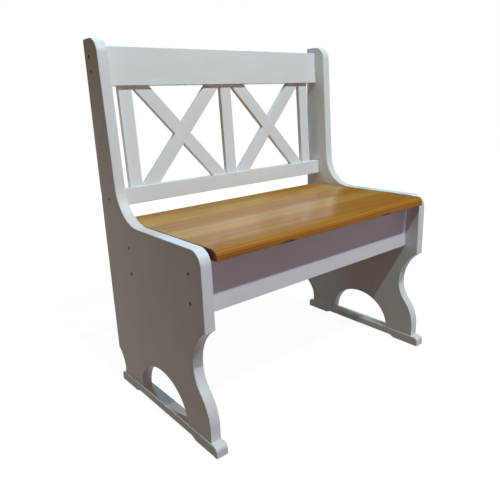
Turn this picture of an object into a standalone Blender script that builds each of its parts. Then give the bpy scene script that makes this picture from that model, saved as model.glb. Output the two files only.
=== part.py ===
"""Pine bench: two shaped side panels on foot runners, a raked cross-braced back and a glued stave seat.

Metres, +Z up, the bench faces -Y. The origin lies on the floor under the middle of the bench.
Depths are measured forward from the rear edge of the side panels, heights from the floor.
"""

import math

import bmesh
import bpy
from mathutils import Euler, Matrix, Vector

# Clearance between pieces that touch
FIT_GAP = 0.0003

# Side panels
PANEL_HEIGHT = 0.902
PANEL_SPAN = 0.783
PANEL_THICKNESS = 0.027
PANEL_DEPTH = 0.446
UPRIGHT_TOP_WIDTH = 0.0705
UPRIGHT_CORNER_RADIUS = 0.028
UPRIGHT_REAR_RADIUS = 0.006
LAP_RADIUS = 0.095
ARM_RISE = 0.001
ARM_CORNER_RADIUS = 0.034
FRONT_TIP_HEIGHT = 0.292
SCOOP_DEPTH = 0.056
SCOOP_HEIGHT = 0.194
SCOOP_LOWER_RADIUS = 0.086
FOOT_FRONT_INSET = 0.004
FOOT_SHOULDER_HEIGHT = 0.060
REAR_KINK_HEIGHT = 0.096
REAR_FOOT_INSET = 0.028
REAR_FOOT_SHOULDER_HEIGHT = 0.042
ARCH_CENTRE_DEPTH = 0.237
ARCH_WIDTH = 0.220
ARCH_RISE = 0.0945
PANEL_EDGE_ROUND = 0.0015

# Foot runners
RUNNER_HEIGHT = 0.0265
RUNNER_LEDGE = 0.002
RUNNER_REAR_OVERHANG = 0.019
RUNNER_FRONT_OVERHANG = 0.0215
RUNNER_END_RADIUS = 0.011
RUNNER_PAD = 0.084
RUNNER_RELIEF = 0.0065
RUNNER_RELIEF_SLOPE = 0.016
RUNNER_EDGE_ROUND = 0.0015

# Seat
SEAT_HEIGHT = 0.4665
SEAT_THICKNESS = 0.024
SEAT_END_GAP = 0.0045
SEAT_REAR_DEPTH = 0.046
SEAT_NOSE_OVERHANG = 0.012
NOSE_ROUND = 0.017
NOSE_LOWER_ROUND = 0.0025
NOSE_STAVE_WIDTH = 0.044
STAVE_WIDTH = 0.078

# Aprons under the seat, and the cleats that tie the seat to them
APRON_HEIGHT = 0.129
APRON_THICKNESS = 0.020
FRONT_APRON_SETBACK = 0.039
REAR_APRON_DEPTH = 0.140
CLEAT_SECTION = 0.020
CLEAT_END_INSET = 0.060

# Back frame
BACK_RAKE = math.radians(3.0)
BACK_SETBACK = 0.035
RAIL_THICKNESS = 0.027
TOP_RAIL_DROP = 0.0165
TOP_RAIL_HEIGHT = 0.091
LOWER_RAIL_GAP = 0.0355
LOWER_RAIL_HEIGHT = 0.042
STILE_END_GAP = 0.0352
STILE_WIDTH = 0.036
BAR_WIDTH = 0.037
CROSS_THICKNESS = 0.0135
CROSS_SETBACK = 0.009
TENON_LENGTH = 0.012
TENON_THICKNESS = 0.007
STILE_TENON_WIDTH = 0.024
BAR_TENON_WIDTH = 0.024
FRAME_EDGE_ROUND = 0.0015

# Countersunk wood screws through the panels and the runners
SCREW_LENGTH = 0.060
SCREW_SHANK_RADIUS = 0.00225
SCREW_HEAD_RADIUS = 0.004
SCREW_HEAD_HEIGHT = 0.0028
SCREW_TIP_LENGTH = 0.006
SCREW_RECESS = 0.0015
TOP_RAIL_SCREW_PITCH = 0.035
TOP_RAIL_SCREW_RISE = 0.005
LOWER_RAIL_SCREW_LEAD = 0.0045
APRON_SCREW_PITCH = 0.066
FOOT_SCREW_INSET = 0.016
FOOT_SCREW_PITCH = 0.036

# Shorter screws of the seat cleats
CLEAT_SCREW_LENGTH = 0.030
CLEAT_SCREW_SHANK_RADIUS = 0.00175
CLEAT_SCREW_HEAD_RADIUS = 0.0034
CLEAT_SCREW_END_INSET = 0.055

# Facets of curved outlines and of turned pieces
ARC_STEP = math.radians(7.5)
ARCH_STEPS = 22
TURNED_SEGMENTS = 12
SHARP_ANGLE = math.radians(30.0)
EDGE_ROUND_SEGMENTS = 2
CUT_OVERRUN = 0.004

# Finishes: colour, roughness, metallic
WHITE_PAINT = ((0.80, 0.80, 0.79), 0.42, 0.0)
BARE_PINE = ((0.62, 0.44, 0.25), 0.65, 0.0)
DARK_STEEL = ((0.09, 0.08, 0.07), 0.45, 0.9)
OILED_PINE_TINTS = (
    (0.40, 0.22, 0.075),
    (0.44, 0.26, 0.095),
    (0.36, 0.20, 0.075),
    (0.47, 0.30, 0.11),
    (0.42, 0.24, 0.08),
    (0.38, 0.20, 0.055),
)
OILED_PINE_ROUGHNESS = 0.30

# Places that follow from the sizes above
INNER_HALF = PANEL_SPAN / 2 - PANEL_THICKNESS
ARM_HEIGHT = SEAT_HEIGHT + ARM_RISE
FOOT_FRONT_DEPTH = PANEL_DEPTH - FOOT_FRONT_INSET
RUNNER_FRONT_DEPTH = FOOT_FRONT_DEPTH + RUNNER_FRONT_OVERHANG
REAR_Y = RUNNER_FRONT_DEPTH / 2
SEAT_UNDERSIDE = SEAT_HEIGHT - SEAT_THICKNESS
APRON_TOP = SEAT_UNDERSIDE - FIT_GAP
APRON_LENGTH = 2 * (INNER_HALF - FIT_GAP)
FRONT_APRON_DEPTH = PANEL_DEPTH - FRONT_APRON_SETBACK
LOWER_RAIL_BASE = SEAT_HEIGHT + LOWER_RAIL_GAP
BACK_RISE = (PANEL_HEIGHT - TOP_RAIL_DROP - LOWER_RAIL_BASE) / math.cos(BACK_RAKE)
TOP_RAIL_FOOT = BACK_RISE - TOP_RAIL_HEIGHT
CROSS_MIDDLE = CROSS_SETBACK + CROSS_THICKNESS / 2
OUTER_STILE_X = INNER_HALF - STILE_END_GAP - STILE_WIDTH / 2
PANEL_TURN = (math.pi / 2, 0.0, -math.pi / 2)
FRAME_TURN = (math.pi / 2, 0.0, 0.0)


def collection_named(name):
    """Collection of that name in the scene, made where it is missing."""
    collection = bpy.data.collections.get(name)
    if collection is None:
        collection = bpy.data.collections.new(name)
        bpy.context.scene.collection.children.link(collection)
    return collection


def clear_scene():
    """Remove every object that is already there."""
    for existing in list(bpy.data.objects):
        bpy.data.objects.remove(existing, do_unlink=True)


clear_scene()
PARTS = collection_named("pine_bench")
TOOLS = collection_named("pine_bench_cutters")


# Materials and objects


def add_material(name, finish):
    """Principled material from a finish of colour, roughness and metallic value."""
    colour, roughness, metallic = finish
    material = bpy.data.materials.new(name)
    material.use_nodes = True
    shader = material.node_tree.nodes["Principled BSDF"]
    shader.inputs["Base Color"].default_value = (*colour, 1.0)
    shader.inputs["Roughness"].default_value = roughness
    shader.inputs["Metallic"].default_value = metallic
    return material


def add_part(name, mesh, finish, location=(0.0, 0.0, 0.0), turn=(0.0, 0.0, 0.0), parent=None):
    """Named piece of the bench with its own material."""
    part = bpy.data.objects.new(name, mesh)
    part.location = location
    part.rotation_euler = turn
    part.parent = parent
    mesh.materials.clear()
    mesh.materials.append(add_material(name + "_finish", finish))
    PARTS.objects.link(part)
    return part


def add_tool(name, mesh, location=(0.0, 0.0, 0.0), turn=(0.0, 0.0, 0.0), parent=None):
    """Hidden solid that cuts or extends a piece."""
    tool = bpy.data.objects.new(name, mesh)
    tool.location = location
    tool.rotation_euler = turn
    tool.parent = parent
    tool.hide_render = True
    tool.display_type = "WIRE"
    TOOLS.objects.link(tool)
    return tool


def combine(part, tool, operation):
    """Boolean of a piece with a hidden tool: DIFFERENCE or UNION."""
    modifier = part.modifiers.new(tool.name, "BOOLEAN")
    modifier.operation = operation
    modifier.solver = "EXACT"
    modifier.object = tool


# Meshes


def boxes_mesh(name, boxes):
    """Mesh of separate boxes, each given by its centre and its size."""
    shape = bmesh.new()
    for centre, size in boxes:
        made = bmesh.ops.create_cube(shape, size=1.0)
        bmesh.ops.scale(shape, vec=size, verts=made["verts"])
        bmesh.ops.translate(shape, vec=centre, verts=made["verts"])
    mesh = bpy.data.meshes.new(name)
    shape.to_mesh(mesh)
    shape.free()
    return mesh


def box_mesh(name, size):
    """Mesh of one box about its own middle."""
    return boxes_mesh(name, [((0.0, 0.0, 0.0), size)])


def evaluated_mesh(guide):
    """Mesh of a guide as its modifiers and its curve leave it; the guide is removed."""
    bpy.context.view_layer.update()
    depsgraph = bpy.context.evaluated_depsgraph_get()
    mesh = bpy.data.meshes.new_from_object(guide.evaluated_get(depsgraph))
    bpy.data.objects.remove(guide, do_unlink=True)
    return mesh


def weld(mesh):
    """Join loose caps, merge flat triangles into whole faces and point every face outward."""
    shape = bmesh.new()
    shape.from_mesh(mesh)
    bmesh.ops.remove_doubles(shape, verts=shape.verts, dist=0.00001)
    bmesh.ops.dissolve_limit(shape, angle_limit=0.001, verts=shape.verts, edges=shape.edges)
    bmesh.ops.recalc_face_normals(shape, faces=shape.faces)
    shape.to_mesh(mesh)
    shape.free()


def plate_mesh(name, outline, thickness):
    """Flat board: the outline lies in the local XY plane, the thickness is centred on local Z."""
    curve = bpy.data.curves.new(name, "CURVE")
    curve.dimensions = "2D"
    curve.fill_mode = "BOTH"
    curve.extrude = thickness / 2
    spline = curve.splines.new("POLY")
    spline.points.add(len(outline) - 1)
    for point, place in zip(spline.points, outline):
        point.co = (place[0], place[1], 0.0, 1.0)
    spline.use_cyclic_u = True
    guide = bpy.data.objects.new(name, curve)
    TOOLS.objects.link(guide)
    mesh = evaluated_mesh(guide)
    weld(mesh)
    return mesh


def turned_mesh(name, profile):
    """Turned solid about local Z from (radius, height) points, listed from its top to its foot."""
    edges = [(index, index + 1) for index in range(len(profile) - 1)]
    outline = bpy.data.meshes.new(name)
    outline.from_pydata([(radius, 0.0, height) for radius, height in profile], edges, [])
    guide = bpy.data.objects.new(name, outline)
    TOOLS.objects.link(guide)
    sweep = guide.modifiers.new("turning", "SCREW")
    sweep.axis = "Z"
    sweep.angle = math.tau
    sweep.steps = TURNED_SEGMENTS
    sweep.render_steps = TURNED_SEGMENTS
    sweep.use_merge_vertices = True
    sweep.merge_threshold = 0.00001
    mesh = evaluated_mesh(guide)
    weld(mesh)
    return mesh


def grouped_mesh(name, source, frames):
    """Separate copies of one mesh, each placed by its own matrix."""
    shape = bmesh.new()
    for frame in frames:
        copy = source.copy()
        copy.transform(frame)
        shape.from_mesh(copy)
        bpy.data.meshes.remove(copy)
    mesh = bpy.data.meshes.new(name)
    shape.to_mesh(mesh)
    shape.free()
    return mesh


def round_edges(part, width, wanted):
    """Round the sharp edges whose local direction is wanted."""
    shape = bmesh.new()
    shape.from_mesh(part.data)
    weight = shape.edges.layers.float.new("bevel_weight_edge")
    for edge in shape.edges:
        direction = (edge.verts[1].co - edge.verts[0].co).normalized()
        edge[weight] = 1.0 if wanted(direction) else 0.0
    shape.to_mesh(part.data)
    shape.free()
    modifier = part.modifiers.new("rounded edges", "BEVEL")
    modifier.limit_method = "WEIGHT"
    modifier.width = width
    modifier.segments = EDGE_ROUND_SEGMENTS


def along_length(direction):
    """Edges along local X."""
    return abs(direction.x) > 0.99


def along_height(direction):
    """Edges along local Z."""
    return abs(direction.z) > 0.99


def on_faces(direction):
    """Edges of a plate that lie in its two faces."""
    return abs(direction.z) < 0.01


def along_diagonal(direction):
    """Edges of a plate that lie in its faces and run neither level nor upright."""
    return on_faces(direction) and 0.1 < abs(direction.x) < 0.99


# Outlines


def arc(centre, start, end):
    """Points of the shorter arc from start to end about a centre, both ends included."""
    spoke = start - centre
    sweep = -spoke.angle_signed(end - centre)
    steps = max(2, math.ceil(abs(sweep) / ARC_STEP))
    return [centre + Matrix.Rotation(sweep * step / steps, 2) @ spoke for step in range(steps + 1)]


def fillet(before, corner, after, radius):
    """Arc that rounds the corner between two straight runs and is tangent to both."""
    to_before = (before - corner).normalized()
    to_after = (after - corner).normalized()
    half_angle = to_before.angle(to_after) / 2
    reach = radius / math.tan(half_angle)
    centre = corner + (to_before + to_after).normalized() * radius / math.sin(half_angle)
    return arc(centre, corner + to_before * reach, corner + to_after * reach)


def radius_over(run, rise):
    """Radius of an arc that leaves its tangent by run over a length of rise."""
    return (run ** 2 + rise ** 2) / (2 * run)


def upright_front(height):
    """Depth of the raked front edge of a panel's upright."""
    return UPRIGHT_TOP_WIDTH + (PANEL_HEIGHT - height) * math.tan(BACK_RAKE)


def front_scoop():
    """Front edge from the tip under the arm, round the scoop and out over the foot."""
    tip = Vector((PANEL_DEPTH, FRONT_TIP_HEIGHT))
    hollow = Vector((PANEL_DEPTH - SCOOP_DEPTH, SCOOP_HEIGHT))
    shoulder = Vector((FOOT_FRONT_DEPTH, FOOT_SHOULDER_HEIGHT))
    upper_radius = radius_over(SCOOP_DEPTH, FRONT_TIP_HEIGHT - SCOOP_HEIGHT)
    upper_centre = hollow + Vector((upper_radius, 0.0))
    lower_centre = hollow + Vector((SCOOP_LOWER_RADIUS, 0.0))
    # The foot's convex arc is tangent to the lower scoop and upright at its shoulder
    offset = lower_centre - shoulder
    foot_radius = (offset.length_squared - SCOOP_LOWER_RADIUS ** 2) / (2 * (SCOOP_LOWER_RADIUS - offset.x))
    foot_centre = shoulder - Vector((foot_radius, 0.0))
    turning = lower_centre + (foot_centre - lower_centre).normalized() * SCOOP_LOWER_RADIUS
    points = arc(upper_centre, tip, hollow)
    points += arc(lower_centre, hollow, turning)[1:]
    points += arc(foot_centre, turning, shoulder)[1:]
    return points


def foot_arch(base):
    """Half ellipse cut into the foot of a panel, from its front to its rear."""
    angles = [math.pi * step / ARCH_STEPS for step in range(ARCH_STEPS + 1)]
    reach = ARCH_WIDTH / 2
    return [
        Vector((ARCH_CENTRE_DEPTH + reach * math.cos(angle), base + ARCH_RISE * math.sin(angle)))
        for angle in angles
    ]


def rear_scoop():
    """Rear edge from the shoulder of the rear foot up to the kink."""
    shoulder = Vector((REAR_FOOT_INSET, REAR_FOOT_SHOULDER_HEIGHT))
    radius = radius_over(REAR_FOOT_INSET, REAR_KINK_HEIGHT - REAR_FOOT_SHOULDER_HEIGHT)
    return arc(shoulder - Vector((radius, 0.0)), shoulder, Vector((0.0, REAR_KINK_HEIGHT)))


def panel_outline():
    """Side panel in depth and height, from the rear top corner round by the front."""
    base = RUNNER_HEIGHT + FIT_GAP
    rear_top = Vector((0.0, PANEL_HEIGHT))
    top_front = Vector((upright_front(PANEL_HEIGHT), PANEL_HEIGHT))
    lap_corner = Vector((upright_front(ARM_HEIGHT), ARM_HEIGHT))
    arm_front = Vector((PANEL_DEPTH, ARM_HEIGHT))
    tip = Vector((PANEL_DEPTH, FRONT_TIP_HEIGHT))
    rear_kink = Vector((0.0, REAR_KINK_HEIGHT))
    points = fillet(rear_kink, rear_top, top_front, UPRIGHT_REAR_RADIUS)
    points += fillet(rear_top, top_front, lap_corner, UPRIGHT_CORNER_RADIUS)
    points += fillet(top_front, lap_corner, arm_front, LAP_RADIUS)
    points += fillet(lap_corner, arm_front, tip, ARM_CORNER_RADIUS)
    points += front_scoop()
    points.append(Vector((FOOT_FRONT_DEPTH, base)))
    points += foot_arch(base)
    points.append(Vector((REAR_FOOT_INSET, base)))
    points += rear_scoop()
    return points


def runner_outline():
    """Foot runner in depth and height, with rounded top ends and a relieved underside."""
    rear = REAR_FOOT_INSET - RUNNER_REAR_OVERHANG
    rear_foot = Vector((rear, 0.0))
    rear_top = Vector((rear, RUNNER_HEIGHT))
    front_top = Vector((RUNNER_FRONT_DEPTH, RUNNER_HEIGHT))
    front_foot = Vector((RUNNER_FRONT_DEPTH, 0.0))
    points = [rear_foot]
    points += fillet(rear_foot, rear_top, front_top, RUNNER_END_RADIUS)
    points += fillet(rear_top, front_top, front_foot, RUNNER_END_RADIUS)
    points.append(front_foot)
    for depth, height in (
        (RUNNER_FRONT_DEPTH - RUNNER_PAD, 0.0),
        (RUNNER_FRONT_DEPTH - RUNNER_PAD - RUNNER_RELIEF_SLOPE, RUNNER_RELIEF),
        (rear + RUNNER_PAD + RUNNER_RELIEF_SLOPE, RUNNER_RELIEF),
        (rear + RUNNER_PAD, 0.0),
    ):
        points.append(Vector((depth, height)))
    return points


def nose_outline(rear, front):
    """Front stave of the seat in depth and height, with its rounded nosing."""
    lower_rear = Vector((rear, SEAT_UNDERSIDE))
    upper_rear = Vector((rear, SEAT_HEIGHT))
    upper_front = Vector((front, SEAT_HEIGHT))
    lower_front = Vector((front, SEAT_UNDERSIDE))
    points = [lower_rear, upper_rear]
    points += fillet(upper_rear, upper_front, lower_front, NOSE_ROUND)
    points += fillet(upper_front, lower_front, lower_rear, NOSE_LOWER_ROUND)
    return points


# Screws


def screw_mesh(name, length, shank, head, clearance=0.0):
    """Countersunk screw with its head's face at the local origin, or, with clearance, its hole."""
    top = SCREW_RECESS + CUT_OVERRUN if clearance else 0.0
    profile = [(0.0, top), (head + clearance, top)]
    if clearance:
        profile.append((head + clearance, -clearance))
    profile += [
        (shank + clearance, -SCREW_HEAD_HEIGHT - clearance),
        (shank + clearance, -length + SCREW_TIP_LENGTH - clearance),
        (0.0, -length - clearance),
    ]
    return turned_mesh(name, profile)


def facing(direction, place):
    """Matrix that puts a screw's head at a place, looking out along a direction."""
    turn = Vector((0.0, 0.0, 1.0)).rotation_difference(Vector(direction))
    return Matrix.Translation(place) @ turn.to_matrix().to_4x4()


def add_screws(name, frames, length, shank, head):
    """Equal screws that share one mesh, and the hidden group of their holes, which is returned."""
    body = screw_mesh(name, length, shank, head)
    body.shade_smooth()
    body.set_sharp_from_angle(angle=SHARP_ANGLE)
    body.materials.append(add_material(name + "_finish", DARK_STEEL))
    for number, frame in enumerate(frames, start=1):
        screw = bpy.data.objects.new(f"{name}_{number}", body)
        screw.matrix_world = frame
        PARTS.objects.link(screw)
    hole = screw_mesh(name + "_hole", length, shank, head, FIT_GAP)
    return add_tool(name + "_holes", grouped_mesh(name + "_holes", hole, frames))


# Side panels and runners


def add_panel(name, side):
    """Side panel standing on its runner; side is -1 on the left and +1 on the right."""
    mesh = plate_mesh(name, panel_outline(), PANEL_THICKNESS)
    place = (side * (PANEL_SPAN - PANEL_THICKNESS) / 2, REAR_Y, 0.0)
    panel = add_part(name, mesh, WHITE_PAINT, place, PANEL_TURN)
    round_edges(panel, PANEL_EDGE_ROUND, on_faces)
    return panel


def add_runner(name, side):
    """Foot runner, a little wider than the panel that it carries."""
    mesh = plate_mesh(name, runner_outline(), PANEL_THICKNESS + 2 * RUNNER_LEDGE)
    place = (side * (PANEL_SPAN - PANEL_THICKNESS) / 2, REAR_Y, 0.0)
    runner = add_part(name, mesh, WHITE_PAINT, place, PANEL_TURN)
    round_edges(runner, RUNNER_EDGE_ROUND, on_faces)
    return runner


# Seat, aprons and cleats


def stave_edges():
    """Depths of the joints between staves, from the nosing to the rear edge of the seat."""
    front = PANEL_DEPTH + SEAT_NOSE_OVERHANG
    edges = [front, front - NOSE_STAVE_WIDTH]
    while edges[-1] - STAVE_WIDTH > SEAT_REAR_DEPTH + STAVE_WIDTH / 4:
        edges.append(edges[-1] - STAVE_WIDTH)
    edges.append(SEAT_REAR_DEPTH)
    return edges


def add_seat():
    """Staves of the seat, numbered from the nosing to the rear."""
    length = 2 * (INNER_HALF - SEAT_END_GAP)
    edges = stave_edges()
    staves = []
    for number, (front, rear) in enumerate(zip(edges, edges[1:]), start=1):
        tint = OILED_PINE_TINTS[(number - 1) % len(OILED_PINE_TINTS)]
        finish = (tint, OILED_PINE_ROUGHNESS, 0.0)
        if number == 1:
            mesh = plate_mesh("seat_nosing_stave", nose_outline(rear + FIT_GAP, front), length)
            stave = add_part("seat_nosing_stave", mesh, finish, (0.0, REAR_Y, 0.0), PANEL_TURN)
        else:
            is_rear = rear == SEAT_REAR_DEPTH
            width = front - rear - (0.0 if is_rear else FIT_GAP)
            mesh = box_mesh(f"seat_stave_{number}", (length, width, SEAT_THICKNESS))
            place = (0.0, REAR_Y - front + width / 2, SEAT_HEIGHT - SEAT_THICKNESS / 2)
            stave = add_part(f"seat_stave_{number}", mesh, finish, place)
        staves.append(stave)
    return staves


def add_apron(name, front_depth):
    """Apron board under the seat, given by the depth of its front face."""
    mesh = box_mesh(name, (APRON_LENGTH, APRON_THICKNESS, APRON_HEIGHT))
    place = (0.0, REAR_Y - front_depth + APRON_THICKNESS / 2, APRON_TOP - APRON_HEIGHT / 2)
    apron = add_part(name, mesh, WHITE_PAINT, place)
    round_edges(apron, FRAME_EDGE_ROUND, along_length)
    return apron


def cleat_length():
    """Length of a seat cleat between the side panels."""
    return 2 * (INNER_HALF - CLEAT_END_INSET)


def add_cleat(name, front_depth):
    """Square cleat in the corner between an apron and the seat, given by its front face."""
    mesh = box_mesh(name, (cleat_length(), CLEAT_SECTION, CLEAT_SECTION))
    place = (0.0, REAR_Y - front_depth + CLEAT_SECTION / 2, APRON_TOP - CLEAT_SECTION / 2)
    return add_part(name, mesh, BARE_PINE, place)


# Back frame, in its own raked frame: X along the bench, Y to the rear, Z up the back


def add_back_frame():
    """Empty at the lower front edge of the lower rail, leaning to the rear."""
    depth = upright_front(LOWER_RAIL_BASE) - BACK_SETBACK
    frame = bpy.data.objects.new("back_frame", None)
    frame.location = (0.0, REAR_Y - depth, LOWER_RAIL_BASE)
    frame.rotation_euler = (-BACK_RAKE, 0.0, 0.0)
    PARTS.objects.link(frame)
    return frame


def bay_spans():
    """Left and right ends of the two bays between the stiles."""
    inner = STILE_WIDTH / 2 + FIT_GAP
    outer = OUTER_STILE_X - STILE_WIDTH / 2 - FIT_GAP
    return {"left": (-outer, -inner), "right": (inner, outer)}


def bar_foot_span(width, height):
    """Level width of a bar's end where its edge runs from corner to corner of a bay."""
    swing = BAR_WIDTH * math.sqrt(height ** 2 + width ** 2 - BAR_WIDTH ** 2)
    return width - height * (width * height - swing) / (height ** 2 - BAR_WIDTH ** 2)


def bar_outline(span, rising, widening=0.0):
    """Cross bar from corner to corner of a bay; widening spreads it evenly for a lap cut."""
    low = LOWER_RAIL_HEIGHT + FIT_GAP
    high = TOP_RAIL_FOOT - FIT_GAP
    left, right = span
    foot = bar_foot_span(right - left, high - low)
    spread = widening * foot / BAR_WIDTH
    points = [
        (left - spread, low),
        (left + foot + spread, low),
        (right + spread, high),
        (right - foot - spread, high),
    ]
    if rising:
        return points
    return [(left + right - across, up) for across, up in points]


def tenon_places():
    """Middles and widths of the tenons along a rail."""
    low = LOWER_RAIL_HEIGHT + FIT_GAP
    high = TOP_RAIL_FOOT - FIT_GAP
    places = [(x, STILE_TENON_WIDTH) for x in (-OUTER_STILE_X, 0.0, OUTER_STILE_X)]
    for left, right in bay_spans().values():
        foot = bar_foot_span(right - left, high - low)
        places += [(left + foot / 2, BAR_TENON_WIDTH), (right - foot / 2, BAR_TENON_WIDTH)]
    return places


def add_rail(name, foot, height, mouth, frame):
    """Rail of the back with mortises; mouth is the height of the edge that they open on."""
    mesh = box_mesh(name, (APRON_LENGTH, RAIL_THICKNESS, height))
    rail = add_part(name, mesh, WHITE_PAINT, (0.0, RAIL_THICKNESS / 2, foot + height / 2), parent=frame)
    round_edges(rail, FRAME_EDGE_ROUND, along_length)
    depth = 2 * (TENON_LENGTH + FIT_GAP)
    thickness = TENON_THICKNESS + 2 * FIT_GAP
    mortises = [
        ((x, CROSS_MIDDLE, mouth), (width + 2 * FIT_GAP, thickness, depth))
        for x, width in tenon_places()
    ]
    mortise_mesh = boxes_mesh(name + "_mortises", mortises)
    combine(rail, add_tool(name + "_mortises", mortise_mesh, parent=frame), "DIFFERENCE")
    return rail


def add_stile(name, x, frame):
    """Upright slat with a tenon at each end."""
    low = LOWER_RAIL_HEIGHT + FIT_GAP
    high = TOP_RAIL_FOOT - FIT_GAP
    middle = (x, CROSS_MIDDLE, (low + high) / 2)
    mesh = box_mesh(name, (STILE_WIDTH, CROSS_THICKNESS, high - low))
    stile = add_part(name, mesh, WHITE_PAINT, middle, parent=frame)
    round_edges(stile, FRAME_EDGE_ROUND, along_height)
    reach = TOP_RAIL_FOOT - LOWER_RAIL_HEIGHT + 2 * TENON_LENGTH
    core = box_mesh(name + "_tenons", (STILE_TENON_WIDTH, TENON_THICKNESS, reach))
    combine(stile, add_tool(name + "_tenons", core, middle, parent=frame), "UNION")
    return stile


def add_bar(name, span, rising, in_front, frame):
    """Cross bar with a tenon at each end, half-lapped with the other bar of its bay."""
    low = LOWER_RAIL_HEIGHT + FIT_GAP
    high = TOP_RAIL_FOOT - FIT_GAP
    left, right = span
    foot = bar_foot_span(right - left, high - low)
    middle = (0.0, CROSS_MIDDLE, 0.0)
    mesh = plate_mesh(name, bar_outline(span, rising), CROSS_THICKNESS)
    bar = add_part(name, mesh, WHITE_PAINT, middle, FRAME_TURN, frame)
    round_edges(bar, FRAME_EDGE_ROUND, along_diagonal)
    ends = [(left + foot / 2, low), (right - foot / 2, high)]
    if not rising:
        ends = [(left + foot / 2, high), (right - foot / 2, low)]
    tenon_size = (BAR_TENON_WIDTH, TENON_THICKNESS, 2 * (TENON_LENGTH - FIT_GAP))
    tenons = boxes_mesh(name + "_tenons", [((x, CROSS_MIDDLE, z), tenon_size) for x, z in ends])
    combine(bar, add_tool(name + "_tenons", tenons, parent=frame), "UNION")
    # At the crossing one bar keeps its front half and the other its rear half
    lap = plate_mesh(name + "_lap", bar_outline(span, not rising, FIT_GAP), CROSS_THICKNESS)
    shift = (CROSS_THICKNESS - FIT_GAP) / 2
    lap_place = (0.0, CROSS_MIDDLE + (shift if in_front else -shift), 0.0)
    combine(bar, add_tool(name + "_lap", lap, lap_place, FRAME_TURN, frame), "DIFFERENCE")
    return bar


# Places of the screws


def panel_screw_places(frame):
    """Depth and height of the screws that hold a panel to the rails and aprons."""
    middle = RAIL_THICKNESS / 2
    top_middle = TOP_RAIL_FOOT + TOP_RAIL_HEIGHT / 2 + TOP_RAIL_SCREW_RISE
    lean = Matrix.Translation(frame.location) @ Euler(frame.rotation_euler).to_matrix().to_4x4()
    in_back = [
        (middle, top_middle + TOP_RAIL_SCREW_PITCH / 2),
        (middle, top_middle - TOP_RAIL_SCREW_PITCH / 2),
        (middle - LOWER_RAIL_SCREW_LEAD, LOWER_RAIL_HEIGHT / 2),
    ]
    points = [lean @ Vector((0.0, y, z)) for y, z in in_back]
    apron_middle = APRON_TOP - APRON_HEIGHT / 2
    for front_depth in (REAR_APRON_DEPTH, FRONT_APRON_DEPTH):
        for step in (-0.5, 0.5):
            y = REAR_Y - front_depth + APRON_THICKNESS / 2
            points.append(Vector((0.0, y, apron_middle + step * APRON_SCREW_PITCH)))
    return points


def panel_screw_frames(side, frame):
    """Screws driven in from the outer face of a panel."""
    x = side * (PANEL_SPAN / 2 - SCREW_RECESS)
    return [facing((side, 0.0, 0.0), (x, point.y, point.z)) for point in panel_screw_places(frame)]


def runner_screw_frames(side):
    """Screws driven up through the pads of a runner into the feet of its panel."""
    x = side * (PANEL_SPAN - PANEL_THICKNESS) / 2
    rear = REAR_FOOT_INSET + FOOT_SCREW_INSET
    front = FOOT_FRONT_DEPTH - FOOT_SCREW_INSET
    depths = (rear, rear + FOOT_SCREW_PITCH, front - FOOT_SCREW_PITCH, front)
    return [facing((0.0, 0.0, -1.0), (x, REAR_Y - depth, SCREW_RECESS)) for depth in depths]


def cleat_screw_frames(front_cleat_depth, rear_cleat_depth):
    """Screws of both cleats: three across into each apron and, between them, two up into the seat."""
    reach = cleat_length() / 2 - CLEAT_SCREW_END_INSET
    middle = APRON_TOP - CLEAT_SECTION / 2
    underside = APRON_TOP - CLEAT_SECTION + SCREW_RECESS
    frames = []
    for depth, open_side in ((front_cleat_depth, 1), (rear_cleat_depth, -1)):
        y_middle = REAR_Y - depth + CLEAT_SECTION / 2
        y_open = y_middle + open_side * (CLEAT_SECTION / 2 - SCREW_RECESS)
        for x in (-reach, 0.0, reach):
            frames.append(facing((0.0, open_side, 0.0), (x, y_open, middle)))
        for x in (-reach / 2, reach / 2):
            frames.append(facing((0.0, 0.0, -1.0), (x, y_middle, underside)))
    return frames


# The bench


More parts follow.
